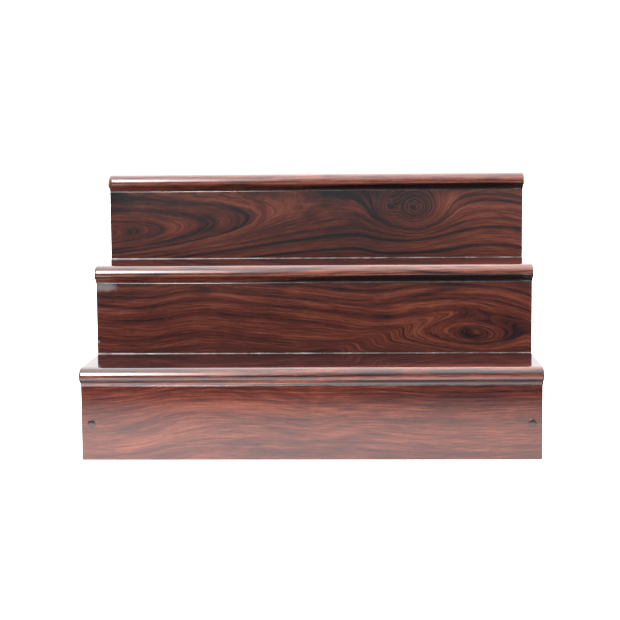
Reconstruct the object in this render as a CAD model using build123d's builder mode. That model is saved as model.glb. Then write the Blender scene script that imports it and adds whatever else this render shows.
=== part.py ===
from build123d import *
import os

# Three-step display stand in lacquered rosewood, glued up as a small flight of stairs.
# Two stepped side panels carry three risers and three treads with a moulded nosing.
# The back and the underside are open, tied across by two rails.
# Origin: centre of the overall box, on the surface that the stand rests on.
# +X runs along the steps, +Y from the front to the back, +Z up. Sizes are in millimetres.

# Driving dimensions
step_names = ["bottom", "middle", "top"]
tread_length = 457.0  # eighteen inches over the treads
end_overhang = 0.5  # how far a tread stands past the carcass at each end
rise = 93.2  # from one tread top to the next, and from the floor to the first
run = 99.0  # from one riser face to the next
board = 18.5  # thickness of every rosewood board
edge_ease = 0.8  # sanded edge of the loose boards inside

# Nosing: a round nose over a quirked belly that coves back to the riser
nose_overhang = 9.0
nose_radius = 8.7
belly_radius = 4.5
belly_turn = 70.0
lip_height = 0.8

# Hidden boards
rail_height = 50.0
cleat_width = 18.0
block_leg = 24.0
block_length = 60.0
block_spacing = 120.0

# Fastenings
plug_radius = 4.0
plug_depth = 6.5
screw_inset = 10.0  # from the end of the bottom riser to the screw
screw_height = 36.5
riser_screw_length = 38.0
cleat_screw_length = 27.0
screw_head_radius = 3.7
screw_head_height = 2.6
screw_shank_radius = 2.1
screw_thread_radius = 2.0
screw_root_radius = 1.4
screw_thread_pitch = 2.0
screw_tip_length = 4.0
screw_slot_width = 0.9
screw_slot_length = 4.4
screw_slot_depth = 1.6
dowel_radius = 4.0
dowel_chamfer = 0.8
dowel_short_end = 10.0  # depth in the thinner way of a board
dowel_long_end = 20.0  # depth in the edge or end of a board
dowel_end_room = 1.0  # glue space beyond the long end of a dowel
rail_dowel_spacing = 26.0
riser_dowel_spacing = 46.0

# Sizes that follow from these
step_count = len(step_names)
carcass_length = tread_length - 2 * end_overhang
depth = nose_overhang + step_count * run
front_face = -depth / 2 + nose_overhang
back_face = depth / 2
inner_x = carcass_length / 2 - board
side_mid_x = carcass_length / 2 - board / 2
screw_x = carcass_length / 2 - screw_inset
cleat_mid_x = inner_x - cleat_width / 2
riser_mid_height = (rise - board) / 2


def riser_face(step):
    """Y of the front face of a riser."""
    return front_face + step * run


def tread_top(step):
    """Z of the upper face of a tread."""
    return (step + 1) * rise


def under_tread(step):
    """Z of the lower face of a tread, which is also the top of its riser."""
    return tread_top(step) - board


def riser_foot(step):
    """Z of the lower edge of a riser: the floor, or the ledge that the tread before it lies on."""
    return 0.0 if step == 0 else under_tread(step - 1)


def cleat_end(step):
    """Y of the back end of a cleat: behind the next riser, or against the upper back rail."""
    return riser_face(step + 1) + board if step < step_count - 1 else back_face - board


def cleat_screw_rows(step):
    """Y of the two screws in a cleat."""
    start = riser_face(step) + board
    length = cleat_end(step) - start
    return [start + length / 4, start + length * 3 / 4]


def riser_dowel_heights(step):
    """Z of the dowels at each end of a riser; the bottom one has a screw in place of its lower dowel."""
    middle = (riser_foot(step) + under_tread(step)) / 2
    upper = middle + riser_dowel_spacing / 2
    return [upper] if step == 0 else [middle - riser_dowel_spacing / 2, upper]


def rail_dowel_heights(rail_bottom):
    """Z of the two dowels at each end of a back rail."""
    middle = rail_bottom + rail_height / 2
    return [middle - rail_dowel_spacing / 2, middle + rail_dowel_spacing / 2]


def wood_screw(length):
    """A countersunk cross-slotted wood screw, its head's face at the origin and its point towards -Z."""
    thread_length = (length - screw_head_height - screw_tip_length) * 2 / 3
    turns = round(thread_length / screw_thread_pitch)
    tip_start = -length + screw_tip_length
    with BuildPart() as screw:
        with BuildSketch(Plane.XZ):
            with BuildLine():
                outline = [(0, 0), (screw_head_radius, 0), (screw_shank_radius, -screw_head_height)]
                outline.append((screw_shank_radius, tip_start + turns * screw_thread_pitch))
                for turn in range(turns, 0, -1):
                    root_z = tip_start + turn * screw_thread_pitch
                    outline.append((screw_root_radius, root_z))
                    outline.append((screw_thread_radius, root_z - screw_thread_pitch / 2))
                outline.append((screw_root_radius, tip_start))
                outline.append((0, -length))
                Polyline(*outline, close=True)
            make_face()
        revolve(axis=Axis.Z)
        with Locations((0, 0, 0)):
            for turn in (0, 90):
                Box(
                    screw_slot_length,
                    screw_slot_width,
                    screw_slot_depth * 2,
                    rotation=(0, 0, turn),
                    mode=Mode.SUBTRACT,
                )
    return screw.part


def dowels(seats):
    """Chamfered dowels, one in each seat: a seat's origin is the joint and its +Z the longer end."""
    length = dowel_short_end + dowel_long_end - dowel_end_room
    with BuildPart() as group:
        with Locations(*seats):
            with Locations((0, 0, -dowel_short_end)):
                Cylinder(dowel_radius, length, align=(Align.CENTER, Align.CENTER, Align.MIN))
        chamfer(group.edges().filter_by(GeomType.CIRCLE), dowel_chamfer)
    return group.part


def riser_dowel_seats(step):
    """Joint planes between the back of a riser and the side panels, +Z into the side panels."""
    joint = riser_face(step) + board
    return [
        Plane(origin=(side * side_mid_x, joint, height), z_dir=(0, 1, 0))
        for side in (-1, 1)
        for height in riser_dowel_heights(step)
    ]


def rail_dowel_seats(rail_bottom):
    """Joint planes between the side panels and the ends of a back rail, +Z into the rail."""
    return [
        Plane(origin=(side * inner_x, back_face - board / 2, height), z_dir=(-side, 0, 0))
        for side in (-1, 1)
        for height in rail_dowel_heights(rail_bottom)
    ]


os.makedirs("parts", exist_ok=True)
rail_bottoms = {"bottom": 0.0, "top": under_tread(step_count - 1) - rail_height}
plug_seats = [
    Plane(origin=(side * screw_x, front_face, screw_height), z_dir=(0, -1, 0)) for side in (-1, 1)
]

# Side panels: each steps up behind the risers and under the treads
with BuildPart() as side_panel_right:
    with BuildSketch(Plane.YZ.offset(inner_x)):
        with BuildLine():
            outline = []
            for step in range(step_count):
                edge = riser_face(step) + board
                outline.append((edge, riser_foot(step)))
                outline.append((edge, under_tread(step)))
            outline.append((back_face, under_tread(step_count - 1)))
            outline.append((back_face, 0))
            Polyline(*outline, close=True)
        make_face()
    extrude(amount=board)
    # pilot hole of the riser screw
    pilot = riser_screw_length - (board - plug_depth)
    with Locations(Plane(origin=(screw_x, front_face + board, screw_height), z_dir=(0, -1, 0))):
        Hole(screw_shank_radius, depth=pilot)
    # dowel holes behind the risers
    for step in range(step_count):
        for height in riser_dowel_heights(step):
            edge = riser_face(step) + board
            with Locations(Plane(origin=(side_mid_x, edge, height), z_dir=(0, -1, 0))):
                Hole(dowel_radius, depth=dowel_long_end)
    # dowel holes for the back rails
    for rail_bottom in rail_bottoms.values():
        for height in rail_dowel_heights(rail_bottom):
            with Locations(
                Plane(origin=(inner_x, back_face - board / 2, height), z_dir=(-1, 0, 0))
            ):
                Hole(dowel_radius, depth=dowel_short_end)
side_panel_right.part.label = "side_panel_right"
export_step(side_panel_right.part, "parts/side_panel_right.step")

with BuildPart() as side_panel_left:
    mirror(side_panel_right.part, about=Plane.YZ)
side_panel_left.part.label = "side_panel_left"
export_step(side_panel_left.part, "parts/side_panel_left.step")

# Risers: plain boards laid over the front edges of the side panels
for step, step_name in enumerate(step_names):
    height = under_tread(step) - riser_foot(step)
    with BuildPart() as riser:
        with Locations((0, riser_face(step), riser_foot(step))):
            Box(carcass_length, board, height, align=(Align.CENTER, Align.MIN, Align.MIN))
        for seat in riser_dowel_seats(step):
            with Locations(seat):
                Hole(dowel_radius, depth=dowel_short_end)
        if step == 0:
            for seat in plug_seats:
                # the head's face lies at the bottom of the plug's hole
                with Locations(seat):
                    Hole(plug_radius, depth=plug_depth)
                with Locations(seat.offset(-plug_depth)):
                    Hole(screw_shank_radius, depth=board)
                    Cone(
                        screw_shank_radius,
                        screw_head_radius,
                        screw_head_height,
                        align=(Align.CENTER, Align.CENTER, Align.MAX),
                        mode=Mode.SUBTRACT,
                    )
    riser.part.label = f"riser_{step_name}"
    export_step(riser.part, f"parts/riser_{step_name}.step")

# Treads: boards with the nosing worked along the front edge, screwed up from the cleats
for step, step_name in enumerate(step_names):
    face, top = riser_face(step), tread_top(step)
    with BuildPart() as tread:
        with BuildSketch(Plane.YZ):
            with BuildLine():
                flat = Line((riser_face(step + 1), top), (face - nose_overhang + nose_radius, top))
                nose = JernArc(flat @ 1, (-1, 0), nose_radius, 90)
                belly = JernArc(nose @ 1, nose % 1, belly_radius, belly_turn)
                cove = TangentArc(
                    belly @ 1, (face, under_tread(step) + lip_height), tangent=belly % 1
                )
                Polyline(
                    cove @ 1,
                    (face, under_tread(step)),
                    (riser_face(step + 1), under_tread(step)),
                    flat @ 0,
                )
            make_face()
        extrude(amount=tread_length / 2, both=True)
        pilot = cleat_screw_length - cleat_width
        for side in (-1, 1):
            for row in cleat_screw_rows(step):
                seat = Plane(origin=(side * cleat_mid_x, row, under_tread(step)), z_dir=(0, 0, -1))
                with Locations(seat):
                    Hole(screw_shank_radius, depth=pilot)
    tread.part.label = f"tread_{step_name}"
    export_step(tread.part, f"parts/tread_{step_name}.step")

# Back rails: one under the top tread and one on the floor, dowelled between the side panels
for rail_name, rail_bottom in rail_bottoms.items():
    with BuildPart() as rail:
        with Locations((0, back_face, rail_bottom)):
            Box(2 * inner_x, board, rail_height, align=(Align.CENTER, Align.MAX, Align.MIN))
        free_side = Axis.Z if rail_name == "bottom" else -Axis.Z
        chamfer(rail.faces().sort_by(free_side)[-1].edges().filter_by(Axis.X), edge_ease)
        for side in (-1, 1):
            for height in rail_dowel_heights(rail_bottom):
                seat = Plane(
                    origin=(side * inner_x, back_face - board / 2, height), z_dir=(side, 0, 0)
                )
                with Locations(seat):
                    Hole(dowel_radius, depth=dowel_long_end)
    rail.part.label = f"back_rail_{rail_name}"
    export_step(rail.part, f"parts/back_rail_{rail_name}.step")

# Cleats: square strips glued inside each side panel, each with two screws up into the tread
for side_name, side in {"left": -1, "right": 1}.items():
    for step, step_name in enumerate(step_names):
        start = riser_face(step) + board
        with BuildPart() as cleat:
            with Locations((side * cleat_mid_x, start, under_tread(step))):
                Box(
                    cleat_width,
                    cleat_end(step) - start,
                    cleat_width,
                    align=(Align.CENTER, Align.MIN, Align.MAX),
                )
            lower_edges = cleat.faces().sort_by(Axis.Z)[0].edges().filter_by(Axis.Y)
            chamfer(lower_edges.sort_by(Axis.X)[0 if side > 0 else -1], edge_ease)
            for row in cleat_screw_rows(step):
                under = under_tread(step) - cleat_width
                seat = Plane(origin=(side * cleat_mid_x, row, under), z_dir=(0, 0, -1))
                with Locations(seat):
                    Hole(screw_shank_radius)
                    Cone(
                        screw_shank_radius,
                        screw_head_radius,
                        screw_head_height,
                        align=(Align.CENTER, Align.CENTER, Align.MAX),
                        mode=Mode.SUBTRACT,
                    )
        cleat.part.label = f"cleat_{side_name}_{step_name}"
        export_step(cleat.part, f"parts/cleat_{side_name}_{step_name}.step")

# Glue blocks: three-cornered blocks rubbed into the angle between a riser and its tread
for step, step_name in enumerate(step_names):
    corner_y, corner_z = riser_face(step) + board, under_tread(step)
    with BuildPart() as glue_blocks:
        for place in (-1, 0, 1):
            with BuildSketch(Plane.YZ.offset(place * block_spacing)):
                with BuildLine():
                    Polyline(
                        (corner_y, corner_z),
                        (corner_y, corner_z - block_leg),
                        (corner_y + block_leg, corner_z),
                        close=True,
                    )
                make_face()
            extrude(amount=block_length / 2, both=True)
    glue_blocks.part.label = f"glue_blocks_{step_name}"
    export_step(glue_blocks.part, f"parts/glue_blocks_{step_name}.step")

# Dowels behind the ends of each riser
for step, step_name in enumerate(step_names):
    riser_dowels = dowels(riser_dowel_seats(step))
    riser_dowels.label = f"riser_dowels_{step_name}"
    export_step(riser_dowels, f"parts/riser_dowels_{step_name}.step")

# Dowels in the ends of the back rails
for rail_name, rail_bottom in rail_bottoms.items():
    rail_dowels = dowels(rail_dowel_seats(rail_bottom))
    rail_dowels.label = f"rail_dowels_{rail_name}"
    export_step(rail_dowels, f"parts/rail_dowels_{rail_name}.step")

# Screws that pull the bottom riser onto the side panels, and the plugs that hide their heads
riser_screw = wood_screw(riser_screw_length)
for side_name, seat in zip(("left", "right"), plug_seats):
    with BuildPart() as placed_screw:
        with Locations(seat.offset(-plug_depth)):
            add(riser_screw)
    placed_screw.part.label = f"riser_screw_{side_name}"
    export_step(placed_screw.part, f"parts/riser_screw_{side_name}.step")

    with BuildPart() as plug:
        with Locations(seat):
            Cylinder(plug_radius, plug_depth, align=(Align.CENTER, Align.CENTER, Align.MAX))
    plug.part.label = f"riser_plug_{side_name}"
    export_step(plug.part, f"parts/riser_plug_{side_name}.step")

# Screws up through the cleats into each tread
cleat_screw = wood_screw(cleat_screw_length)
for step, step_name in enumerate(step_names):
    under = under_tread(step) - cleat_width
    with BuildPart() as cleat_screws:
        for side in (-1, 1):
            for row in cleat_screw_rows(step):
                seat = Plane(origin=(side * cleat_mid_x, row, under), z_dir=(0, 0, -1))
                with Locations(seat):
                    add(cleat_screw)
    cleat_screws.part.label = f"cleat_screws_{step_name}"
    export_step(cleat_screws.part, f"parts/cleat_screws_{step_name}.step")
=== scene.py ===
import math

import bmesh
import bpy
from mathutils import Matrix, Quaternion, Vector, noise


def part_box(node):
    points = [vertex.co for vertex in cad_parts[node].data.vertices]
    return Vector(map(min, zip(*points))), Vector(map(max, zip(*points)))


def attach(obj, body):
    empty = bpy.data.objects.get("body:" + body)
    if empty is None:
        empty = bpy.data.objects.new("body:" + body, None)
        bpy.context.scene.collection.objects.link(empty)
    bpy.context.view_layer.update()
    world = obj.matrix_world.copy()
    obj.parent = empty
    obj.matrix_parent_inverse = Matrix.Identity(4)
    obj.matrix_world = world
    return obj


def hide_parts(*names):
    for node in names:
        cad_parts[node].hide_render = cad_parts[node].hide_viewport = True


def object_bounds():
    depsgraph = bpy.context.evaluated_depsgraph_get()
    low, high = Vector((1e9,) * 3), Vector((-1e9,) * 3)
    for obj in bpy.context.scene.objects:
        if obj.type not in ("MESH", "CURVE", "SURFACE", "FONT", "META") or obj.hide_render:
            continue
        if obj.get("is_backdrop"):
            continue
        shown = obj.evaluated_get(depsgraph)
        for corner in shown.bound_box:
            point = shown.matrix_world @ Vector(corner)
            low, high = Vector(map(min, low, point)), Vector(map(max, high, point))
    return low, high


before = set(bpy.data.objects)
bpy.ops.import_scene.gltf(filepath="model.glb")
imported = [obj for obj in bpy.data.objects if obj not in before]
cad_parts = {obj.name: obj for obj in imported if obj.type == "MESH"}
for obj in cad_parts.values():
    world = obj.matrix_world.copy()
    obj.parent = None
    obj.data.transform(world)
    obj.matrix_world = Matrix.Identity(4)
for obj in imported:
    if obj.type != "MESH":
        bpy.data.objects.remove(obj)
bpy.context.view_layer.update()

# ---------------------------------------------------------------- side panels
# Two stepped boards of rosewood, one at each end, that everything else is fixed to.
# Each is sawn from a wide board with its grain level, sanded smooth at the edges and lacquered.

MM = 0.001  # metres


def node(tree, kind, inputs=(), **settings):
    """A shader node with its settings and its sockets, each set to a value or linked to another node."""
    made = tree.nodes.new("ShaderNode" + kind)
    for name, value in settings.items():
        setattr(made, name, value)
    pairs = inputs.items() if isinstance(inputs, dict) else enumerate(inputs)
    for socket, value in pairs:
        if isinstance(value, bpy.types.NodeSocket):
            tree.links.new(value, made.inputs[socket])
        elif value is not None:
            made.inputs[socket].default_value = value
    return made


def calc(tree, operation, *values, clamp=False):
    """A Math node's result."""
    return node(tree, "Math", values, operation=operation, use_clamp=clamp).outputs[0]


def span(tree, value, low, high, first=0.0, last=1.0, **settings):
    """How far a value has come from low to high, as a number that runs from first to last."""
    sockets = {"Value": value, "From Min": low, "From Max": high, "To Min": first, "To Max": last}
    return node(tree, "MapRange", sockets, **settings).outputs[0]


def swing(tree, value, amount):
    """A noise or a curve that lies round a half, made to swing either side of nothing."""
    return calc(tree, "MULTIPLY", calc(tree, "SUBTRACT", value, 0.5), amount)


def mix_colour(tree, share, first, second):
    """One colour where the share is nothing and another where it is full."""
    return node(tree, "Mix", {"Factor": share, 6: first, 7: second}, data_type="RGBA").outputs[2]


def ramp(tree, factor, stops):
    """A level read off a ramp of greys; each stop is a place on the ramp and the level there."""
    made = node(tree, "ValToRGB", {"Fac": factor})
    points = made.color_ramp.elements
    while len(points) < len(stops):
        points.new(1.0)
    for point, (place, grey) in zip(points, stops):
        point.position = place
        point.color = (grey, grey, grey, 1.0)
    return made.outputs["Color"]


def stretched_noise(tree, place, scale, detail=2.0, roughness=0.5):
    """Noise on a place in millimetres, drawn out by a scale for each axis."""
    drawn = node(tree, "VectorMath", (place, scale), operation="MULTIPLY").outputs[0]
    sockets = {"Vector": drawn, "Scale": 1.0, "Detail": detail, "Roughness": roughness}
    return node(tree, "TexNoise", sockets).outputs["Fac"]


def shader_group(name, inputs, outputs):
    """An empty shader node group with its sockets made, and its two end nodes."""
    group = bpy.data.node_groups.new(name, "ShaderNodeTree")
    for socket, kind, value in inputs:
        made = group.interface.new_socket(socket, in_out="INPUT", socket_type="NodeSocket" + kind)
        made.default_value = value
    for socket, kind in outputs:
        group.interface.new_socket(socket, in_out="OUTPUT", socket_type="NodeSocket" + kind)
    start = group.nodes.new("NodeGroupInput")
    end = group.nodes.new("NodeGroupOutput")
    return group, start.outputs, end


def make_swell_group():
    """How far a swell, such as a knot or a dip in the tree's rings, pushes at a place on the board.
    It pushes most at its middle and fades all round, and a ragged one fades unevenly."""
    group, given, end = shader_group(
        "grain_swell",
        [
            ("Place", "Vector", (0, 0, 0)),
            ("Centre", "Vector", (0, 0, 0)),
            ("Size", "Vector", (20, 30, 20)),
            ("Tilt", "Float", 0.0),
            ("Push", "Float", 10.0),
            ("Ragged", "Float", 0.0),
        ],
        [("Push", "Float")],
    )
    apart = node(group, "VectorMath", (given["Place"], given["Centre"]), operation="SUBTRACT").outputs[0]
    sockets = {"Vector": apart, "Angle": given["Tilt"]}
    turned = node(group, "VectorRotate", sockets, rotation_type="Y_AXIS").outputs[0]
    sizes = node(group, "VectorMath", (turned, given["Size"]), operation="DIVIDE").outputs[0]
    square = node(group, "VectorMath", (sizes, sizes), operation="DOT_PRODUCT").outputs["Value"]
    uneven = stretched_noise(group, given["Place"], (0.09, 0.05, 0.09), detail=3.0, roughness=0.6)
    uneven = calc(group, "ADD", swing(group, uneven, given["Ragged"]), 1.0)
    square = calc(group, "MULTIPLY", square, uneven)
    fade = calc(group, "EXPONENT", calc(group, "MULTIPLY", square, -1.0))
    group.links.new(calc(group, "MULTIPLY", fade, given["Push"]), end.inputs["Push"])
    return group


def make_rosewood_group():
    """Rosewood's own grain, at a place along, into and across the rings: it runs from light to middle
    to dark with the bands, patches, streaks, threads, lines and hairs, and it has black open pores."""
    group, given, end = shader_group(
        "rosewood_grain",
        [
            ("Along", "Float", 0.0),
            ("Depth", "Float", 0.0),
            ("Across", "Float", 0.0),
            ("Bands", "Float", 0.5),
            ("Streaks", "Float", 1.0),
            ("Light", "Color", (0.225, 0.061, 0.035, 1)),
            ("Middle", "Color", (0.088, 0.019, 0.013, 1)),
            ("Dark", "Color", (0.010, 0.006, 0.008, 1)),
            ("Pore", "Color", (0.010, 0.006, 0.006, 1)),
        ],
        [("Color", "Color"), ("Roughness", "Float"), ("Height", "Float")],
    )
    place = node(group, "CombineXYZ", (given["Along"], given["Depth"], given["Across"])).outputs[0]
    patches = stretched_noise(group, place, (0.013, 0.03, 0.05))
    streaks = stretched_noise(group, place, (0.016, 0.22, 0.24), detail=3.0, roughness=0.6)
    threads = stretched_noise(group, place, (0.022, 0.6, 0.62), detail=3.0, roughness=0.7)
    lines = stretched_noise(group, place, (0.04, 1.1, 1.15), detail=4.0, roughness=0.72)
    hairs = stretched_noise(group, place, (0.06, 2.0, 2.2), detail=3.0, roughness=0.7)
    pores = stretched_noise(group, place, (0.16, 3.4, 3.6), detail=1.0)

    fine = calc(group, "ADD", swing(group, lines, 1.35), swing(group, hairs, 0.6))
    drawn = calc(group, "ADD", swing(group, streaks, 0.5), fine)
    drawn = calc(group, "ADD", drawn, swing(group, threads, 1.25))
    drawn = calc(group, "MULTIPLY", drawn, given["Streaks"])
    dark = calc(group, "ADD", given["Bands"], drawn)
    dark = calc(group, "ADD", dark, swing(group, patches, 0.5), clamp=True)

    lower_half = calc(group, "MULTIPLY", dark, 2.0, clamp=True)
    upper_half = calc(group, "MULTIPLY_ADD", dark, 2.0, -1.0, clamp=True)
    colour = mix_colour(group, lower_half, given["Light"], given["Middle"])
    colour = mix_colour(group, upper_half, colour, given["Dark"])
    pits = span(group, pores, 0.62, 0.72)
    colour = mix_colour(group, calc(group, "MULTIPLY", pits, 0.6), colour, given["Pore"])
    group.links.new(colour, end.inputs["Color"])
    group.links.new(calc(group, "MULTIPLY_ADD", dark, -0.08, 0.38), end.inputs["Roughness"])
    height = calc(group, "SUBTRACT", calc(group, "MULTIPLY", lines, 0.3), pits)
    group.links.new(height, end.inputs["Height"])
    return group


grain_swell = make_swell_group()
rosewood_grain = make_rosewood_group()

RUN_REACH = 240.0  # mm from a board's middle to the ends of its run curve
RUN_SWING = 40.0  # mm that a run curve can swing either way
WANDER = 2.5  # mm that the grain wanders about its run
BAND_LOW, BAND_HIGH = -50.0, 140.0  # mm across the rings that a board's bands cover
SWELL_DEPTH = 60.0  # mm that a swell reaches into the board
KNOT_RINGS = 0.9  # radians of a knot's fine rings for each mm across
KNOT_CRINKLE = 9.0  # radians that a knot's fine rings are crinkled by
RUBBED_LACQUER = (0.21, 0.19, 0.19, 1)


def new_finish(name, centre):
    """A new material, its node tree and shader, and the place in millimetres from a board's middle."""
    material = bpy.data.materials.new(name)
    material.use_nodes = True
    tree = material.node_tree
    place = node(tree, "TexCoord").outputs["Object"]
    shift = [-c / MM for c in centre]
    place = node(tree, "Mapping", {"Vector": place, "Location": shift, "Scale": (1 / MM,) * 3})
    return material, tree, tree.nodes["Principled BSDF"], place.outputs[0]


def feed(tree, shader, colour, rough, height=None, strength=0.0, depth=0.0):
    """Gives a shader its colour, its roughness and a fine relief of a depth in metres."""
    tree.links.new(colour, shader.inputs["Base Color"])
    tree.links.new(rough, shader.inputs["Roughness"])
    if height is not None:
        relief = node(tree, "Bump", {"Height": height, "Strength": strength, "Distance": depth})
        tree.links.new(relief.outputs[0], shader.inputs["Normal"])


def push_at(tree, place, spot):
    """What a spot on a board adds. A spot is its middle as millimetres along and up from the middle of
    the board, its half length and half width, its tilt in degrees, its push, and how ragged it is."""
    (along, up), (half_length, half_width), tilt, push, *ragged = spot
    sockets = {
        "Place": place,
        "Centre": (along, 0.0, up),
        "Size": (half_length, SWELL_DEPTH, half_width),
        "Tilt": math.radians(tilt),
        "Push": push,
        "Ragged": ragged[0] if ragged else 0.0,
    }
    return node(tree, "Group", sockets, node_tree=grain_swell).outputs["Push"]


def add_pushes(tree, value, place, spots):
    """A value with what each spot adds."""
    for spot in spots:
        value = calc(tree, "ADD", value, push_at(tree, place, spot))
    return value


def run_line(tree, along, run):
    """How high the grain's line is, from points along a board and up from its middle."""
    curve = node(tree, "FloatCurve", {"Value": span(tree, along, -RUN_REACH, RUN_REACH)})
    points = curve.mapping.curves[0].points
    while len(points) < len(run):
        points.new(0.5, 0.5)
    for point, (reach, height) in zip(points, run):
        point.location = (0.5 + reach / RUN_REACH / 2, 0.5 + height / RUN_SWING / 2)
    curve.mapping.update()
    return swing(tree, curve.outputs[0], 2 * RUN_SWING)


def rosewood(
    name,
    centre,
    run=(),
    swells=(),
    bands_and_shade=(),
    knots=(),
    tones=(),
    marks=(),
    shade=0.0,
    streaks=1.0,
    seed=0.0,
    lean=0.35,
    endways=False,
):
    """Lacquered rosewood for one board. Centre is the board's middle in metres; run is the line that
    the grain follows; swells are spots that push the rings up or down, in millimetres; the bands are
    how dark the wood is from ring to ring, and on the treads, where they follow the height on the
    nosing, they also paint shade into the cove and onto the top and paint the nose lighter or darker;
    knots are spots of fine crinkled rings; tones are darker or lighter spots; marks are spots where
    the lacquer is rubbed pale; shade is how much darker than usual the board is; streaks is how strong
    its fine grain is; seed is where in the tree it is cut from; and lean is how steeply the rings slope
    from its front to its back. An endways board runs front to back."""
    material, tree, shader, place = new_finish(name, centre)
    x, y, z = node(tree, "SeparateXYZ", (place,)).outputs
    if endways:
        x, y = y, x
        place = node(tree, "CombineXYZ", (x, y, z)).outputs[0]
    wander = stretched_noise(tree, place, (0.014, 0.03, 0.03))
    across = calc(tree, "ADD", z, swing(tree, wander, WANDER))
    across = calc(tree, "MULTIPLY_ADD", y, lean, across)
    if run:
        across = calc(tree, "SUBTRACT", across, run_line(tree, x, run))
    across = add_pushes(tree, across, place, swells)

    darkness = 0.5
    # On the treads the bands follow the height on the nosing: they are painted shade in the cove and on the
    # top, and a painted lighter or darker nose.
    if bands_and_shade:
        level = span(tree, across, BAND_LOW, BAND_HIGH)
        stops = [((ring - BAND_LOW) / (BAND_HIGH - BAND_LOW), dark) for ring, dark in bands_and_shade]
        darkness = ramp(tree, level, stops)
    if knots:
        crinkle = stretched_noise(tree, place, (0.14, 0.05, 0.14), detail=3.0, roughness=0.6)
        crinkle = calc(tree, "MULTIPLY", crinkle, KNOT_CRINKLE)
        wave = calc(tree, "SINE", calc(tree, "MULTIPLY_ADD", across, KNOT_RINGS, crinkle))
        rings = calc(tree, "POWER", calc(tree, "MAXIMUM", wave, 0.0), 2.0)
        for spot in knots:
            darkness = calc(tree, "MULTIPLY_ADD", rings, push_at(tree, place, spot), darkness)
    darkness = add_pushes(tree, darkness, place, tones)

    sockets = {
        "Along": calc(tree, "ADD", x, seed),
        "Depth": y,
        "Across": across,
        "Bands": calc(tree, "ADD", darkness, shade),
        "Streaks": streaks,
    }
    grain = node(tree, "Group", sockets, node_tree=rosewood_grain).outputs
    colour, rough = grain["Color"], grain["Roughness"]
    if marks:
        flecks = stretched_noise(tree, place, (0.22, 0.5, 0.9), detail=3.0, roughness=0.7)
        rubbed = calc(tree, "ADD", add_pushes(tree, 0.0, place, marks), flecks)
        rubbed = span(tree, rubbed, 1.0, 1.35)
        colour = mix_colour(tree, rubbed, colour, RUBBED_LACQUER)
        rough = calc(tree, "MULTIPLY_ADD", rubbed, 0.3, rough)
    feed(tree, shader, colour, rough, grain["Height"], strength=0.2, depth=0.1 * MM)
    shader.inputs["Specular IOR Level"].default_value = 0.0
    shader.inputs["Coat Weight"].default_value = 1.0
    shader.inputs["Coat Roughness"].default_value = 0.06
    shader.inputs["Coat IOR"].default_value = 1.5
    return material


BROAD_FACE = 600 * MM * MM  # faces above this area are planed flat, so their shading stays flat too


def finish_piece(name, bm, material, slot, *nodes, sharp=35.0):
    """Makes the bmesh a piece that rides on the stand, and stands for its CAD nodes. Edges that turn
    by more than sharp degrees stay sharp."""
    bmesh.ops.recalc_face_normals(bm, faces=bm.faces[:])
    mesh = bpy.data.meshes.new(name)
    bm.to_mesh(mesh)
    bm.free()
    mesh.set_sharp_from_angle(angle=math.radians(sharp))
    for face in mesh.polygons:
        face.use_smooth = face.area < BROAD_FACE
    piece = bpy.data.objects.new(name, mesh)
    bpy.context.scene.collection.objects.link(piece)
    mesh.materials.append(material)
    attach(piece, "root")
    if nodes:
        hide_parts(*nodes)
    return piece


def cad_finish(name, material):
    """Gives a CAD node's own mesh a material."""
    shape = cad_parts[name].data
    shape.materials.clear()
    shape.materials.append(material)


def middle_of(name):
    """The middle of a CAD node's box."""
    low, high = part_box(name)
    return (Vector(low) + Vector(high)) / 2


def ease_edges(bm, edges, width):
    """Sands edges round."""
    bmesh.ops.bevel(
        bm,
        geom=edges,
        offset=width,
        offset_type="OFFSET",
        segments=3,
        profile=0.5,
        affect="EDGES",
        clamp_overlap=True,
        material=-1,
    )


def pull(bm, cap, distance):
    """Pulls an end face along and returns the new end face and its corners."""
    pulled = bmesh.ops.extrude_face_region(bm, geom=[cap])["geom"]
    corners = [v for v in pulled if isinstance(v, bmesh.types.BMVert)]
    bmesh.ops.translate(bm, vec=(distance, 0, 0), verts=corners)
    return next(f for f in pulled if isinstance(f, bmesh.types.BMFace)), corners


STEPS = ("bottom", "middle", "top")
riser_box = {step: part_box(f"riser_{step}") for step in STEPS}
tread_box = {step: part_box(f"tread_{step}") for step in STEPS}
EASED = 0.5 * MM

side_seeds = {"left": 900.0, "right": 1300.0}
for side, seed in side_seeds.items():
    low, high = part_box(f"side_panel_{side}")
    bm = bmesh.new()
    outline = []
    foot = low[2]
    for step in STEPS:
        edge = riser_box[step][1][1]
        ledge = tread_box[step][0][2]
        outline.append(bm.verts.new((low[0], edge, foot)))
        outline.append(bm.verts.new((low[0], edge, ledge)))
        foot = ledge
    outline.append(bm.verts.new((low[0], high[1], high[2])))
    outline.append(bm.verts.new((low[0], high[1], low[2])))
    pull(bm, bm.faces.new(outline), high[0] - low[0])
    ease_edges(bm, bm.edges[:], EASED)
    wood = rosewood(
        f"rosewood_side_{side}",
        middle_of(f"side_panel_{side}"),
        run=[(-240, -8), (-60, 4), (60, -2), (240, 6)],
        seed=seed,
        lean=0.0,
        endways=True,
    )
    finish_piece(f"stepped_side_{side}", bm, wood, "rosewood", f"side_panel_{side}")

# ---------------------------------------------------------------- back rails and their dowels
# Two rosewood rails that tie the side panels together at the back, one at the foot, one at the top.
# Planed and lacquered like the rest, and held by plain beech dowels glued into the ends.


def board(low, high):
    """A squared board between two corners, with its edges eased."""
    low, high = Vector(low), Vector(high)
    bm = bmesh.new()
    bmesh.ops.create_cube(bm, size=1.0)
    bmesh.ops.scale(bm, vec=high - low, verts=bm.verts[:])
    bmesh.ops.translate(bm, vec=(low + high) / 2, verts=bm.verts[:])
    ease_edges(bm, bm.edges[:], EASED)
    return bm


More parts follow.
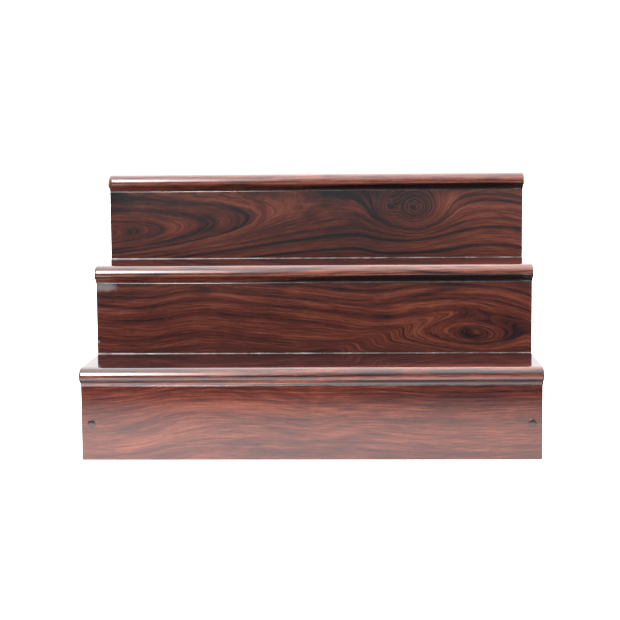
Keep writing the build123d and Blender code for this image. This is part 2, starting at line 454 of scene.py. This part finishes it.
def plain_wood(name, centre, pale, deep, stretch):
    """Straight-grained light wood with growth lines, pores and the fuzz of a saw. Its grain is drawn
    out along the axis where the stretch is smallest."""
    material, tree, shader, place = new_finish(name, centre)
    growth = stretched_noise(tree, place, [0.35 * s for s in stretch], detail=3.0, roughness=0.6)
    flecks = stretched_noise(tree, place, [2.4 * s for s in stretch], roughness=0.6)
    saw_marks = stretched_noise(tree, place, (1.1, 1.1, 0.12))
    grain = calc(tree, "ADD", calc(tree, "MULTIPLY", growth, 0.65), calc(tree, "MULTIPLY", flecks, 0.35))
    colour = mix_colour(tree, span(tree, grain, 0.32, 0.68), (*pale, 1), (*deep, 1))
    rough = calc(tree, "MULTIPLY_ADD", flecks, 0.2, 0.5)
    height = calc(tree, "MULTIPLY_ADD", saw_marks, 0.6, flecks)
    feed(tree, shader, colour, rough, height, strength=0.4, depth=0.2 * MM)
    return material


PALE_BEECH = (0.50, 0.34, 0.20)
DEEP_BEECH = (0.33, 0.20, 0.11)

rail_seeds = {"bottom": 3300.0, "top": 3900.0}
for place_name, seed in rail_seeds.items():
    name = f"back_rail_{place_name}"
    wood = rosewood(f"rosewood_{name}", middle_of(name), seed=seed, lean=0.2)
    finish_piece(f"{name}_board", board(*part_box(name)), wood, "rosewood", name)
    name = f"rail_dowels_{place_name}"
    beech = plain_wood(f"beech_{name}", middle_of(name), PALE_BEECH, DEEP_BEECH, stretch=(0.1, 1, 1))
    cad_finish(name, beech)

# ---------------------------------------------------------------- cleats
# Square strips of plain hardwood glued along the insides of the side panels, for the treads to sit on.
# They are left as they came off the saw, with only the sharp lower edges taken off.

for side in ("left", "right"):
    for step in STEPS:
        name = f"cleat_{side}_{step}"
        strip = plain_wood(
            f"hardwood_{name}",
            middle_of(name),
            pale=(0.30, 0.17, 0.09),
            deep=(0.17, 0.085, 0.045),
            stretch=(1, 0.08, 1),
        )
        cad_finish(name, strip)

# ---------------------------------------------------------------- risers
# Three plain boards laid over the front edges of the side panels, chosen for their figure.
# Each is planed, eased at the edges and lacquered; knots and wavy rings show in the upper two.


def front_middle(low, high):
    """The middle of a board's front face."""
    return ((low[0] + high[0]) / 2, low[1], (low[2] + high[2]) / 2)


riser_figures = {
    "bottom": dict(
        run=[(-240, -9), (-180, -6), (-120, 4), (-60, 4), (0, 2), (60, 3), (120, 0), (240, 2)],
        swells=[((-81, 1), (120, 15), -9, -6)],
        bands_and_shade=[
            (-40, 0.5), (-31, 0.66), (-28, 0.45), (-25, 0.66), (-21, 0.42), (-8, 0.42), (1, 0.56),
            (5, 0.4), (14, 0.38), (18, 0.62), (20, 0.38), (21.5, 0.54), (24, 0.42), (26, 0.66),
            (28, 0.38), (30, 0.7), (33, 0.42), (38, 0.55),
        ],
        tones=[
            ((160, 26), (90, 12), 0, 0.28),
            ((-80, 18), (60, 8), 0, -0.12),
            ((-130, -28), (90, 12), 0, -0.1),
        ],
        seed=0.0,
    ),
    "middle": dict(
        run=[
            (-240, 6), (-180, 3), (-120, 10), (-60, 5), (0, 0), (60, -5), (120, 1), (180, -1),
            (240, -18),
        ],
        swells=[
            ((164, -15), (75, 22), -5, 38),
            ((71, -8), (84, 8), 17, -10),
            ((169, -7), (15, 6), -8, 9, 0.5),
        ],
        bands_and_shade=[
            (-38, 0.5), (-29, 0.66), (-25, 0.45), (-16, 0.66), (-12, 0.42), (1, 0.44), (5, 0.74),
            (6.5, 0.5), (8, 0.62), (10, 0.38), (13, 0.36), (16, 0.42), (18.5, 0.84), (20.5, 0.6),
            (22.5, 0.35), (26, 0.35), (28.4, 0.8), (30, 0.48), (32.5, 0.64), (35, 0.35), (39, 0.37),
            (42.5, 0.86), (45, 0.44), (50, 0.54),
        ],
        knots=[((140, -12), (45, 14), 0, 0.3, 0.5)],
        tones=[
            ((164, -8), (18, 8), -6, 0.34, 0.6),
            ((171, -6), (6, 2.5), -30, -0.5, 0.5),
            ((120, 34), (30, 2.5), 12, 0.4),
            ((-200, 33), (36, 7), 0, 0.25),
            ((110, -6), (30, 9), 10, -0.12),
            ((-115, 38), (8, 6), 0, 0.2),
            ((110, 0), (60, 40), 0, -0.05),
        ],
        marks=[
            ((-219, 43), (19, 7), 0, 0.95),
            ((-205, 14.5), (22, 0.7), 0, 0.62),
            ((-227, -15), (2.5, 2), 0, 1.0),
        ],
        shade=0.02,
        seed=300.0,
    ),
    "top": dict(
        run=[
            (-240, 7), (-180, 13), (-120, 16), (-60, 16), (0, 11), (40, 5), (85, -12), (130, -15),
            (190, -13), (240, -29),
        ],
        swells=[
            ((-237, -13), (292, 46), 4, 90),
            ((110, 26), (26, 21), -1, 69, 0.4),
            ((80, 28), (9, 10), 2, 34, 0.6),
        ],
        bands_and_shade=[
            (2, 0.5), (4, 1.0), (6.5, 1.0), (9, 0.4), (24, 0.5), (26.8, 0.9), (29, 1.0), (31, 0.55),
            (34, 0.42), (38.5, 0.76), (41, 0.42), (48, 0.66), (51, 0.38), (54.8, 0.4),
            (55.6, 0.95), (57.8, 0.85), (59, 0.5), (62.5, 0.9), (63.9, 0.8), (65, 0.46),
            (69.2, 0.46), (70.4, 0.8), (71.6, 0.46), (90, 0.3), (92, 0.95), (94, 0.32), (101, 0.32),
            (103, 0.95), (105, 0.32), (112, 0.38), (114.5, 1.0), (117, 0.42),
        ],
        knots=[((109, 27), (22, 20), 0, 0.85, 0.5), ((80, 28), (13, 14), 0, 0.85, 0.6)],
        tones=[
            ((109, 29), (26, 20), 0, 0.12),
            ((-205, 2), (22, 8), 5, 0.12),
            ((-8, 20), (14, 7), -20, 0.22),
            ((-110, 10), (90, 40), 0, -0.12),
            ((50, 42), (70, 4), 0, 0.25),
            ((150, 30), (12, 14), 0, -0.25),
            ((64, 18), (10, 14), 40, 0.25),
            ((-100, 22), (50, 20), 0, -0.12),
            ((190, 20), (60, 60), 0, -0.22),
            ((-20, -14), (60, 16), 0, 0.08),
            ((20, 38), (60, 9), 0, 0.15),
            ((20, 30), (60, 50), 0, 0.06),
        ],
        shade=0.1,
        seed=600.0,
    ),
}
for step, colouring in riser_figures.items():
    low, high = riser_box[step]
    wood = rosewood(f"rosewood_riser_{step}", front_middle(low, high), **colouring)
    finish_piece(f"riser_board_{step}", board(low, high), wood, "rosewood", f"riser_{step}")

# ---------------------------------------------------------------- riser dowels, screws and plugs
# Blind beech dowels hold the risers' ends; the bottom riser has a steel screw at each end as well.
# The screws are sunk below the face, and a round plug of dark end grain hides each of them.
# It is trimmed almost flush and lacquered over.

for step in STEPS:
    name = f"riser_dowels_{step}"
    beech = plain_wood(f"beech_{name}", middle_of(name), PALE_BEECH, DEEP_BEECH, stretch=(1, 0.1, 1))
    cad_finish(name, beech)


def screw_steel(name, centre):
    """Dull zinc on steel, brushed round by the driver and with a little brown rust."""
    material, tree, shader, place = new_finish(name, centre)
    bloom = stretched_noise(tree, place, (0.6, 0.6, 0.6), detail=3.0, roughness=0.6)
    brushed = stretched_noise(tree, place, (4.0, 0.5, 4.0))
    rust = span(tree, bloom, 0.55, 0.7)
    colour = mix_colour(tree, rust, (0.56, 0.55, 0.52, 1), (0.22, 0.11, 0.06, 1))
    rough = calc(tree, "MULTIPLY_ADD", brushed, 0.25, 0.25)
    feed(tree, shader, colour, rough, brushed, strength=0.2, depth=0.1 * MM)
    tree.links.new(calc(tree, "SUBTRACT", 1.0, rust), shader.inputs["Metallic"])
    return material


def plug_wood(name, centre, radius):
    """Dark end grain with open pores, darkest at the plug's glued rim. The radius is in metres."""
    material, tree, shader, place = new_finish(name, centre)
    x, y, z = node(tree, "SeparateXYZ", (place,)).outputs
    flat = node(tree, "CombineXYZ", (x, 0.0, z)).outputs[0]
    reach = node(tree, "VectorMath", (flat,), operation="LENGTH").outputs["Value"]
    grain = stretched_noise(tree, place, (0.5, 0.2, 1.6), detail=3.0, roughness=0.6)
    pores = stretched_noise(tree, place, (2.4, 0.2, 2.4), detail=1.0)
    rim = span(tree, reach, radius / MM - 1.0, radius / MM - 0.1)
    dark = calc(tree, "MULTIPLY_ADD", rim, 0.7, calc(tree, "SUBTRACT", grain, 0.2))
    dark = calc(tree, "MULTIPLY_ADD", pores, 0.3, dark, clamp=True)
    colour = mix_colour(tree, dark, (0.06, 0.03, 0.026, 1), (0.012, 0.008, 0.008, 1))
    rough = calc(tree, "MULTIPLY_ADD", pores, 0.2, 0.3)
    feed(tree, shader, colour, rough, pores, strength=0.3, depth=0.1 * MM)
    shader.inputs["Specular IOR Level"].default_value = 0.0
    shader.inputs["Coat Weight"].default_value = 1.0
    shader.inputs["Coat Roughness"].default_value = 0.1
    return material


PLUG_PROUD = 0.15 * MM
PLUG_RIM = 0.3 * MM
for side in ("left", "right"):
    name = f"riser_screw_{side}"
    cad_finish(name, screw_steel(f"steel_{name}", middle_of(name)))
    name = f"riser_plug_{side}"
    low, high = (Vector(corner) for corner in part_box(name))
    middle = (low + high) / 2
    radius = (high[0] - low[0]) / 2
    length = high[1] - low[1] + PLUG_PROUD
    bm = bmesh.new()
    bmesh.ops.create_cone(bm, cap_ends=True, segments=40, radius1=radius, radius2=radius, depth=length)
    bmesh.ops.rotate(bm, matrix=Matrix.Rotation(math.pi / 2, 3, "X"), verts=bm.verts[:])
    bmesh.ops.translate(bm, vec=(middle[0], high[1] - length / 2, middle[2]), verts=bm.verts[:])
    front_rim = [e for e in bm.edges if all(v.co.y < low[1] for v in e.verts)]
    ease_edges(bm, front_rim, PLUG_RIM)
    end_grain = plug_wood(f"end_grain_{side}", middle, radius)
    finish_piece(f"screw_plug_{side}", bm, end_grain, "plug_wood", name)

# ---------------------------------------------------------------- glue blocks
# Short triangular blocks of plain hardwood rubbed into the corner behind each riser.
# Sawn from an offcut and left bare, with the marks of the saw on them.

for step in STEPS:
    name = f"glue_blocks_{step}"
    block = plain_wood(
        f"hardwood_{name}",
        middle_of(name),
        pale=(0.34, 0.20, 0.11),
        deep=(0.19, 0.10, 0.05),
        stretch=(0.1, 1, 1),
    )
    cad_finish(name, block)

# ---------------------------------------------------------------- treads
# Three boards with a nosing worked along the front edge: a round nose, a small belly and a cove
# that runs back to the riser. The lower two butt against the riser behind them.
# All are lacquered and held by screws that come up through the cleats.

NOSE_RADIUS = 8.7 * MM
BELLY_RADIUS = 4.5 * MM
BELLY_TURN = math.radians(70.0)
LIP = 0.8 * MM  # height of the flat below the cove, level with the riser's face
ROUND_STEPS = 5


def turn(bm, vert, centre, angle, steps):
    """Carries an outline's last point round an arc and returns the new last point."""
    last = bmesh.ops.spin(
        bm,
        geom=[vert],
        cent=centre,
        axis=(1, 0, 0),
        angle=angle,
        steps=steps,
        use_duplicate=False,
    )["geom_last"]
    return next(v for v in last if isinstance(v, bmesh.types.BMVert))


def round_end(bm, cap, way, radius, low, high):
    """Sands a board's end round on top and in front, keeping its lower back corner where it is."""
    size = Vector((1.0, high[1] - low[1], high[2] - low[2]))
    fixed = Matrix.Translation((0, -high[1], -low[2]))
    before = Vector((1, 1, 1))
    for step in range(1, ROUND_STEPS + 1):
        angle = math.pi / 2 * step / ROUND_STEPS
        last = math.pi / 2 * (step - 1) / ROUND_STEPS
        cap, corners = pull(bm, cap, way * radius * (math.sin(angle) - math.sin(last)))
        lost = radius * (1 - math.cos(angle))
        now = Vector((1, 1 - lost / size[1], 1 - lost / size[2]))
        factor = Vector((1, now[1] / before[1], now[2] / before[2]))
        bmesh.ops.scale(bm, vec=factor, space=fixed, verts=corners)
        before = now


def nosed_board(low, high, face, left_round, right_round):
    """A tread between two corners: its nosing ends at the riser's face, and its ends are sanded round."""
    start_x = low[0] + left_round
    bm = bmesh.new()
    start = bm.verts.new((start_x, low[1] + NOSE_RADIUS, high[2]))
    nose_centre = (start_x, start.co.y, high[2] - NOSE_RADIUS)
    nose = turn(bm, start, nose_centre, math.pi / 2, steps=18)
    belly_centre = (start_x, nose.co.y + BELLY_RADIUS, nose.co.z)
    belly = turn(bm, nose, belly_centre, BELLY_TURN, steps=10)
    lip = Vector((start_x, face, low[2] + LIP))
    chord = lip - belly.co
    outward = Vector((0, -math.cos(BELLY_TURN), -math.sin(BELLY_TURN)))
    cove_radius = chord.length_squared / (2 * chord.dot(outward))
    cove_centre = belly.co + outward * cove_radius
    cove_turn = -2 * math.asin(chord.length / (2 * cove_radius))
    cove = turn(bm, belly, cove_centre, cove_turn, steps=10)
    corners = [(face, low[2]), (high[1], low[2]), (high[1], high[2])]
    chain = [cove] + [bm.verts.new((start_x, y, z)) for y, z in corners] + [start]
    for first, second in zip(chain, chain[1:]):
        bm.edges.new((first, second))
    left_cap = bmesh.ops.contextual_create(bm, geom=bm.edges[:])["faces"][0]
    right_cap, _ = pull(bm, left_cap, high[0] - right_round - start_x)
    left_cap = min(bm.faces, key=lambda f: f.calc_center_median().x)
    round_end(bm, right_cap, 1, right_round, low, high)
    round_end(bm, left_cap, -1, left_round, low, high)
    return bm


lower_run = [(-240, -5), (-60, -2), (60, 2), (240, 3)]
# Levels for the two upper treads by height on the nosing: painted shade in the cove and on the top, and a
# painted lighter nose.
upper_bands_and_shade = [
    (-50, 0.5), (-9, 1.0), (-4, 1.0), (-3, 0.3), (1, 0.1), (5, 0.3), (9, 0.4), (14, 0.65), (30, 0.8),
]
tread_figures_and_shade = {
    "bottom": dict(
        run=lower_run,
        # Painted shade in the cove and on the top, a painted dark line along the middle of the nose and a
        # painted lighter band below it.
        bands_and_shade=[
            (-50, 0.5), (-9, 1.0), (-5.4, 1.0), (-4.4, 0.3), (-1.2, 0.3), (-0.4, 0.85), (3, 0.85),
            (4.4, 0.5), (9, 0.5), (14, 0.9), (30, 1.0),
        ],
        seed=2000.0,
    ),
    "middle": dict(
        run=lower_run,
        bands_and_shade=upper_bands_and_shade,
        tones=[
            ((-150, 3), (40, 2.5), 6, 0.45),
            ((-20, 5), (60, 2), 4, 0.4),
            ((130, 1), (50, 2), -4, 0.4),
        ],
        shade=0.1,
        seed=2400.0,
    ),
    "top": dict(
        run=[(-240, -3), (-60, -1), (60, 1), (240, 2)],
        bands_and_shade=upper_bands_and_shade,
        tones=[((170, 4), (60, 5), 3, 0.3), ((-60, 0), (50, 1.5), 3, 0.35)],
        seed=2900.0,
    ),
}
end_rounds = {"bottom": (2.0, 2.0), "middle": (2.0, 2.0), "top": (4.5, 2.0)}  # mm, left and right
for step, colouring in tread_figures_and_shade.items():
    low, high = (Vector(corner) for corner in tread_box[step])
    face = riser_box[step][0][1]
    left_round, right_round = (radius * MM for radius in end_rounds[step])
    bm = nosed_board(low, high, face, left_round, right_round)
    # The treads' grain, with the shade and the lighter nose painted in by their bands.
    wood = rosewood(
        f"rosewood_tread_{step}", front_middle(low, high), streaks=1.5, lean=0.25, **colouring
    )
    finish_piece(f"moulded_tread_{step}", bm, wood, "rosewood", f"tread_{step}", sharp=40.0)
    name = f"cleat_screws_{step}"
    cad_finish(name, screw_steel(f"steel_{name}", middle_of(name)))

# ---------------------------------------------------------------- lacquer in the joints
# Thick lacquer that ran into the corner at the foot of each upper riser and under the nosings.
# It dried as thin beads of uneven width, thickest at their left ends. Their pale colour is partly milky
# lacquer and partly a painted highlight, and it grows towards the left, where the light falls most.

BEAD_STEPS = 150
BEAD_SETBACK = 0.5 * MM  # from the ends of the risers
WOBBLES = 60.0  # along a bead
WOBBLE = 0.45  # share of a bead's size that its width wobbles by
PLAIN_WIDTH = 0.75  # share of a bead's size that it has without the wobble
LEFT_SWELL = 0.7  # share that is added at its left end
LEFT_FADE = 9.0  # how fast that fades along the bead


def lacquer(name):
    """Dried lacquer: as dark as the wood where it is clear, and pale where it is milky and where a
    highlight is painted on it; the pale grows towards the left, where the light falls most."""
    material, tree, shader, place = new_finish(name, (0, 0, 0))
    milky_and_highlight = stretched_noise(tree, place, (0.05, 0.6, 0.6), detail=4.0, roughness=0.7)
    x = node(tree, "SeparateXYZ", (place,)).outputs[0]
    # painted highlight: the beads are made paler towards the left, where the light falls most
    milky_and_highlight = calc(tree, "ADD", milky_and_highlight, span(tree, x, -228.0, 150.0, 0.14, 0.0))
    share = span(tree, milky_and_highlight, 0.44, 0.68)
    # the pale colour stands for milky lacquer and for a painted highlight
    colour = mix_colour(tree, share, (0.05, 0.022, 0.02, 1), (0.33, 0.29, 0.29, 1))
    feed(tree, shader, colour, calc(tree, "MULTIPLY_ADD", share, 0.2, 0.3))
    shader.inputs["Specular IOR Level"].default_value = 0.3
    return material


def bead(name, corner_y, corner_z, outline, size, seed, material):
    """A bead along a joint. The outline is in bead sizes back and up from the joint's corner."""
    half = (riser_box["top"][1][0] - riser_box["top"][0][0]) / 2 - BEAD_SETBACK
    bm = bmesh.new()
    spots = [bm.verts.new((-half, corner_y + back * size, corner_z + up * size)) for back, up in outline]
    cap = bm.faces.new(spots)
    before = 1.0
    fixed = Matrix.Translation((0, -corner_y, -corner_z))
    for step in range(1, BEAD_STEPS + 1):
        share = step / BEAD_STEPS
        wobble = noise.noise((share * WOBBLES, seed, 0.0)) * WOBBLE
        now = PLAIN_WIDTH + wobble + LEFT_SWELL * math.exp(-share * LEFT_FADE)
        cap, corners = pull(bm, cap, 2 * half / BEAD_STEPS)
        bmesh.ops.scale(bm, vec=(1, now / before, now / before), space=fixed, verts=corners)
        before = now
    finish_piece(name, bm, material, "lacquer_line")


# lacquer with its painted highlight
lacquer_and_highlight = lacquer("lacquer_and_painted_highlight")
FOOT_SIZE = 0.75 * MM
SEAM_SIZE = 0.25 * MM
foot_outline = [(0.2, -0.2), (0.2, 1.0), (0.0, 1.0), (-0.5, 0.6), (-0.8, 0.3), (-1.0, 0.0), (-1.0, -0.2)]
seam_outline = [(0.3, 0.8), (0.3, -0.8), (0.0, -0.8), (-0.35, -0.5), (-0.45, 0.0), (-0.35, 0.5), (0.0, 0.8)]
for index, (lower, upper) in enumerate(zip(STEPS, STEPS[1:])):
    face = riser_box[upper][0][1]
    ledge = tread_box[lower][1][2]
    bead(f"lacquer_foot_{upper}", face, ledge, foot_outline, FOOT_SIZE, 3.0 + index, lacquer_and_highlight)
for index, step in enumerate(STEPS):
    face = riser_box[step][0][1]
    seam = tread_box[step][0][2]
    bead(f"lacquer_seam_{step}", face, seam, seam_outline, SEAM_SIZE, 11.0 + index, lacquer_and_highlight)

# ---------------------------------------------------------------- floor and studio
# A wide pale table, lit so that the lacquer mirrors a soft glow from it near the stand.
# The studio round it is white and softly lit from above, with a tall window at the front left.

GLOW_REACH = 8.0
glow_steps = [  # metres in front of the stand, and how bright the table's glow is there
    (0.0, 1.0), (0.1, 0.95), (0.18, 0.85), (0.25, 0.64), (0.32, 0.36), (0.38, 0.10), (0.45, 0.02),
    (0.6, 0.02), (1.2, 0.05), (2.0, 0.11), (4.0, 0.13), (8.0, 0.21),
]
GLOW_BEHIND = 0.08  # share of the glow that is left behind the riser's face
GLOW_LEFTWARD = 0.6  # how much the glow grows to the left and falls to the right
GLOW_RIGHT_LEAST, GLOW_LEFT_MOST = 0.6, 1.3  # how far that goes
GLOW_EDGE, GLOW_END = 0.26, 0.36  # metres to either side between which the glow fades
GLOW_OUTSIDE = 0.1  # share of it that is left there
GLOW_SPREAD = 0.16  # how fast the glow widens with its distance
GLOW_LEAST = 0.05
MIRRORED_LIGHT = 4.0  # what the lacquer mirrors of the glow
BOUNCED_LIGHT = 1.9  # what the glow throws on rough surfaces
BOUNCED_LEAST = 1.1
TABLE_WHITE = (0.85, 0.85, 0.85, 1)
TABLE_HAZE = 0.75  # light that is added to the table as it is seen

floor_mesh = bpy.data.meshes.new("table")
bm = bmesh.new()
bmesh.ops.create_grid(bm, x_segments=1, y_segments=1, size=12.0)
bm.to_mesh(floor_mesh)
bm.free()
table = bpy.data.objects.new("table", floor_mesh)
bpy.context.scene.collection.objects.link(table)
table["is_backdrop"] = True

paper = bpy.data.materials.new("white_table")
paper.use_nodes = True
tree = paper.node_tree
tree.nodes.remove(tree.nodes["Principled BSDF"])
side, ahead, _ = node(tree, "SeparateXYZ", (node(tree, "TexCoord").outputs["Object"],)).outputs
gap = calc(tree, "SUBTRACT", riser_box["bottom"][0][1], ahead)
front_gap = calc(tree, "MAXIMUM", gap, 0.0)
stops = [(reach / GLOW_REACH, strength) for reach, strength in glow_steps]
glow = ramp(tree, calc(tree, "DIVIDE", gap, GLOW_REACH), stops)
glow = calc(tree, "MULTIPLY", glow, span(tree, gap, -0.02, 0.0, GLOW_BEHIND, 1.0))
slant = calc(tree, "DIVIDE", side, calc(tree, "ADD", front_gap, 1.0))
slant = calc(tree, "MULTIPLY_ADD", slant, -GLOW_LEFTWARD, 1.0)
slant = calc(tree, "MAXIMUM", slant, GLOW_RIGHT_LEAST)
slant = calc(tree, "MINIMUM", slant, GLOW_LEFT_MOST)
glow = calc(tree, "MULTIPLY", glow, slant)
widened = calc(tree, "MULTIPLY", front_gap, GLOW_SPREAD)
beside = calc(tree, "SUBTRACT", calc(tree, "ABSOLUTE", side), widened)
glow = calc(tree, "MULTIPLY", glow, span(tree, beside, GLOW_EDGE, GLOW_END, 1.0, GLOW_OUTSIDE))
glow = calc(tree, "MAXIMUM", glow, GLOW_LEAST)

rays = node(tree, "LightPath").outputs
mirrored = calc(tree, "MULTIPLY", glow, MIRRORED_LIGHT)
bounced = calc(tree, "MULTIPLY_ADD", glow, BOUNCED_LIGHT, BOUNCED_LEAST)
strength = node(tree, "Mix", {"Factor": rays["Is Diffuse Ray"], 2: mirrored, 3: bounced}).outputs[0]
lit = node(tree, "Emission", {"Strength": strength}).outputs[0]
white = node(tree, "BsdfDiffuse", {"Color": TABLE_WHITE}).outputs[0]
haze = node(tree, "Emission", {"Color": (1, 1, 1, 1), "Strength": TABLE_HAZE}).outputs[0]
seen_table = node(tree, "AddShader", (white, haze)).outputs[0]
surface = node(tree, "MixShader", (rays["Is Camera Ray"], lit, seen_table)).outputs[0]
tree.links.new(surface, tree.nodes["Material Output"].inputs["Surface"])
floor_mesh.materials.append(paper)

SIDE_LIGHT, TOP_LIGHT = 0.5, 5.4  # from low down to straight above
BACK_LIGHT = 1.2
WINDOW_LIGHT = 70.0
WINDOW_LEFT, WINDOW_WIDTH = 0.26, 0.11  # sideways, in a direction of length one
WINDOW_SILL, WINDOW_HEAD = (0.18, 0.32), (0.60, 0.85)  # upwards, and how softly each begins and ends
SEEN_LIGHT = 1.1  # of the studio behind the stand, as it is seen
FIRST_MIRROR = 2.5  # ray depth that only a first reflection is below

world = bpy.data.worlds.new("studio")
bpy.context.scene.world = world
world.use_nodes = True
tree = world.node_tree
sky = tree.nodes["Background"]
way = node(tree, "TexCoord").outputs["Generated"]
side, ahead, height = node(tree, "SeparateXYZ", (way,)).outputs


def soft_span(*values):
    """A span in the studio's light that starts and ends gently."""
    return span(tree, *values, interpolation_type="SMOOTHSTEP")


overhead = soft_span(height, 0.25, 1.0, SIDE_LIGHT, TOP_LIGHT)
behind = soft_span(ahead, -0.1, 0.5, 0.0, BACK_LIGHT)
off_middle = calc(tree, "DIVIDE", calc(tree, "ADD", side, WINDOW_LEFT), WINDOW_WIDTH)
off_middle = calc(tree, "POWER", off_middle, 2.0)
window = calc(tree, "EXPONENT", calc(tree, "MULTIPLY", off_middle, -1.0))
window = calc(tree, "MULTIPLY", window, soft_span(height, *WINDOW_SILL, 0.0, WINDOW_LIGHT))
window = calc(tree, "MULTIPLY", window, soft_span(height, *WINDOW_HEAD, 1.0, 0.0))
window = calc(tree, "MULTIPLY", window, soft_span(ahead, -0.5, -0.1, 1.0, 0.0))
rays = node(tree, "LightPath").outputs
first_mirror = calc(tree, "LESS_THAN", rays["Ray Depth"], FIRST_MIRROR)
window = calc(tree, "MULTIPLY", window, calc(tree, "MULTIPLY", rays["Is Glossy Ray"], first_mirror))
light = calc(tree, "ADD", calc(tree, "ADD", overhead, behind), window)
brightness = node(tree, "Mix", {"Factor": rays["Is Camera Ray"], 2: light, 3: SEEN_LIGHT}).outputs[0]
sky.inputs["Color"].default_value = (1, 1, 1, 1)
tree.links.new(brightness, sky.inputs["Strength"])

# ---------------------------------------------------------------- camera
# Almost square to the steps, about a metre and a half from them, with a long lens.
# It stands a little above the stand and a little to its right, and looks slightly down.

camera_right, camera_gap, camera_height = 0.0502, 1.462, 0.3032
pitch, yaw, roll = (math.radians(angle) for angle in (6.003, -1.969, 0.444))

camera_data = bpy.data.cameras.new("camera")
camera_data.sensor_width = 36.0
camera_data.lens = 87.0968
camera = bpy.data.objects.new("camera", camera_data)
bpy.context.scene.collection.objects.link(camera)
camera.location = (camera_right, riser_box["bottom"][0][1] - camera_gap, camera_height)
forward = Vector((math.sin(yaw) * math.cos(pitch), math.cos(yaw) * math.cos(pitch), -math.sin(pitch)))
camera.rotation_mode = "QUATERNION"
camera.rotation_quaternion = Quaternion(forward, roll) @ forward.to_track_quat("-Z", "Y")
bpy.context.scene.camera = camera
bpy.context.scene.view_settings.view_transform = "Standard"

low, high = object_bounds()
